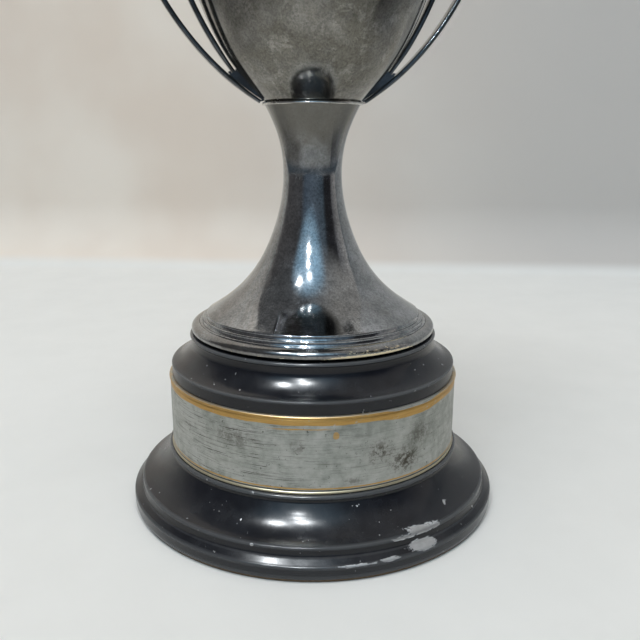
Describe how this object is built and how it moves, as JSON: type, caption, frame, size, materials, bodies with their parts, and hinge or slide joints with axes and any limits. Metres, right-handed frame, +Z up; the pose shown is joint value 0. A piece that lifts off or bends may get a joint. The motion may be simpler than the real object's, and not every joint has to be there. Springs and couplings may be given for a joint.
{
  "type": "cup trophy",
  "caption": "Two-handled loving cup of tarnished silver plate on a trumpet foot, standing on a moulded black plinth with a plain plated name band.",
  "frame": {"origin": "on the surface the trophy stands on, under the middle of its plinth", "axes": "+Z up through the middle of the cup; the handles lie along X; the front faces -Y and the band's seam is at +Y"},
  "size_m": [0.159, 0.1524, 0.31],
  "materials": {
    "silver_plate": "old silver plate on brass, dark cloudy tarnish, brass showing where it is worn through",
    "black_enamel": "black enamel with a soft gloss, chipped to grey metal at the lower edge",
    "brass": "dull yellow brass",
    "steel": "plain zinc-grey steel",
    "fibre": "black vulcanised fibre",
    "baize": "faded brown baize"
  },
  "bodies": {
    "root": {"baize_pad": "baize", "plinth_base": "black_enamel", "plinth_top": "black_enamel", "name_band": "silver_plate", "band_pins": "brass", "foot_gasket": "fibre", "foot_plate": "steel", "foot_rim": "silver_plate", "stem_foot": "silver_plate", "joint_ring": "silver_plate", "bowl": "silver_plate", "rim_bead": "silver_plate", "bowl_boss": "brass", "tie_rod": "steel", "base_washer": "steel", "lock_washer": "steel", "base_nut": "steel", "left_upper_pad": "silver_plate", "left_outer_strap": "silver_plate", "left_inner_strap": "silver_plate", "left_lower_web": "silver_plate", "right_upper_pad": "silver_plate", "right_outer_strap": "silver_plate", "right_inner_strap": "silver_plate", "right_lower_web": "silver_plate"}
  },
  "joints": []
}
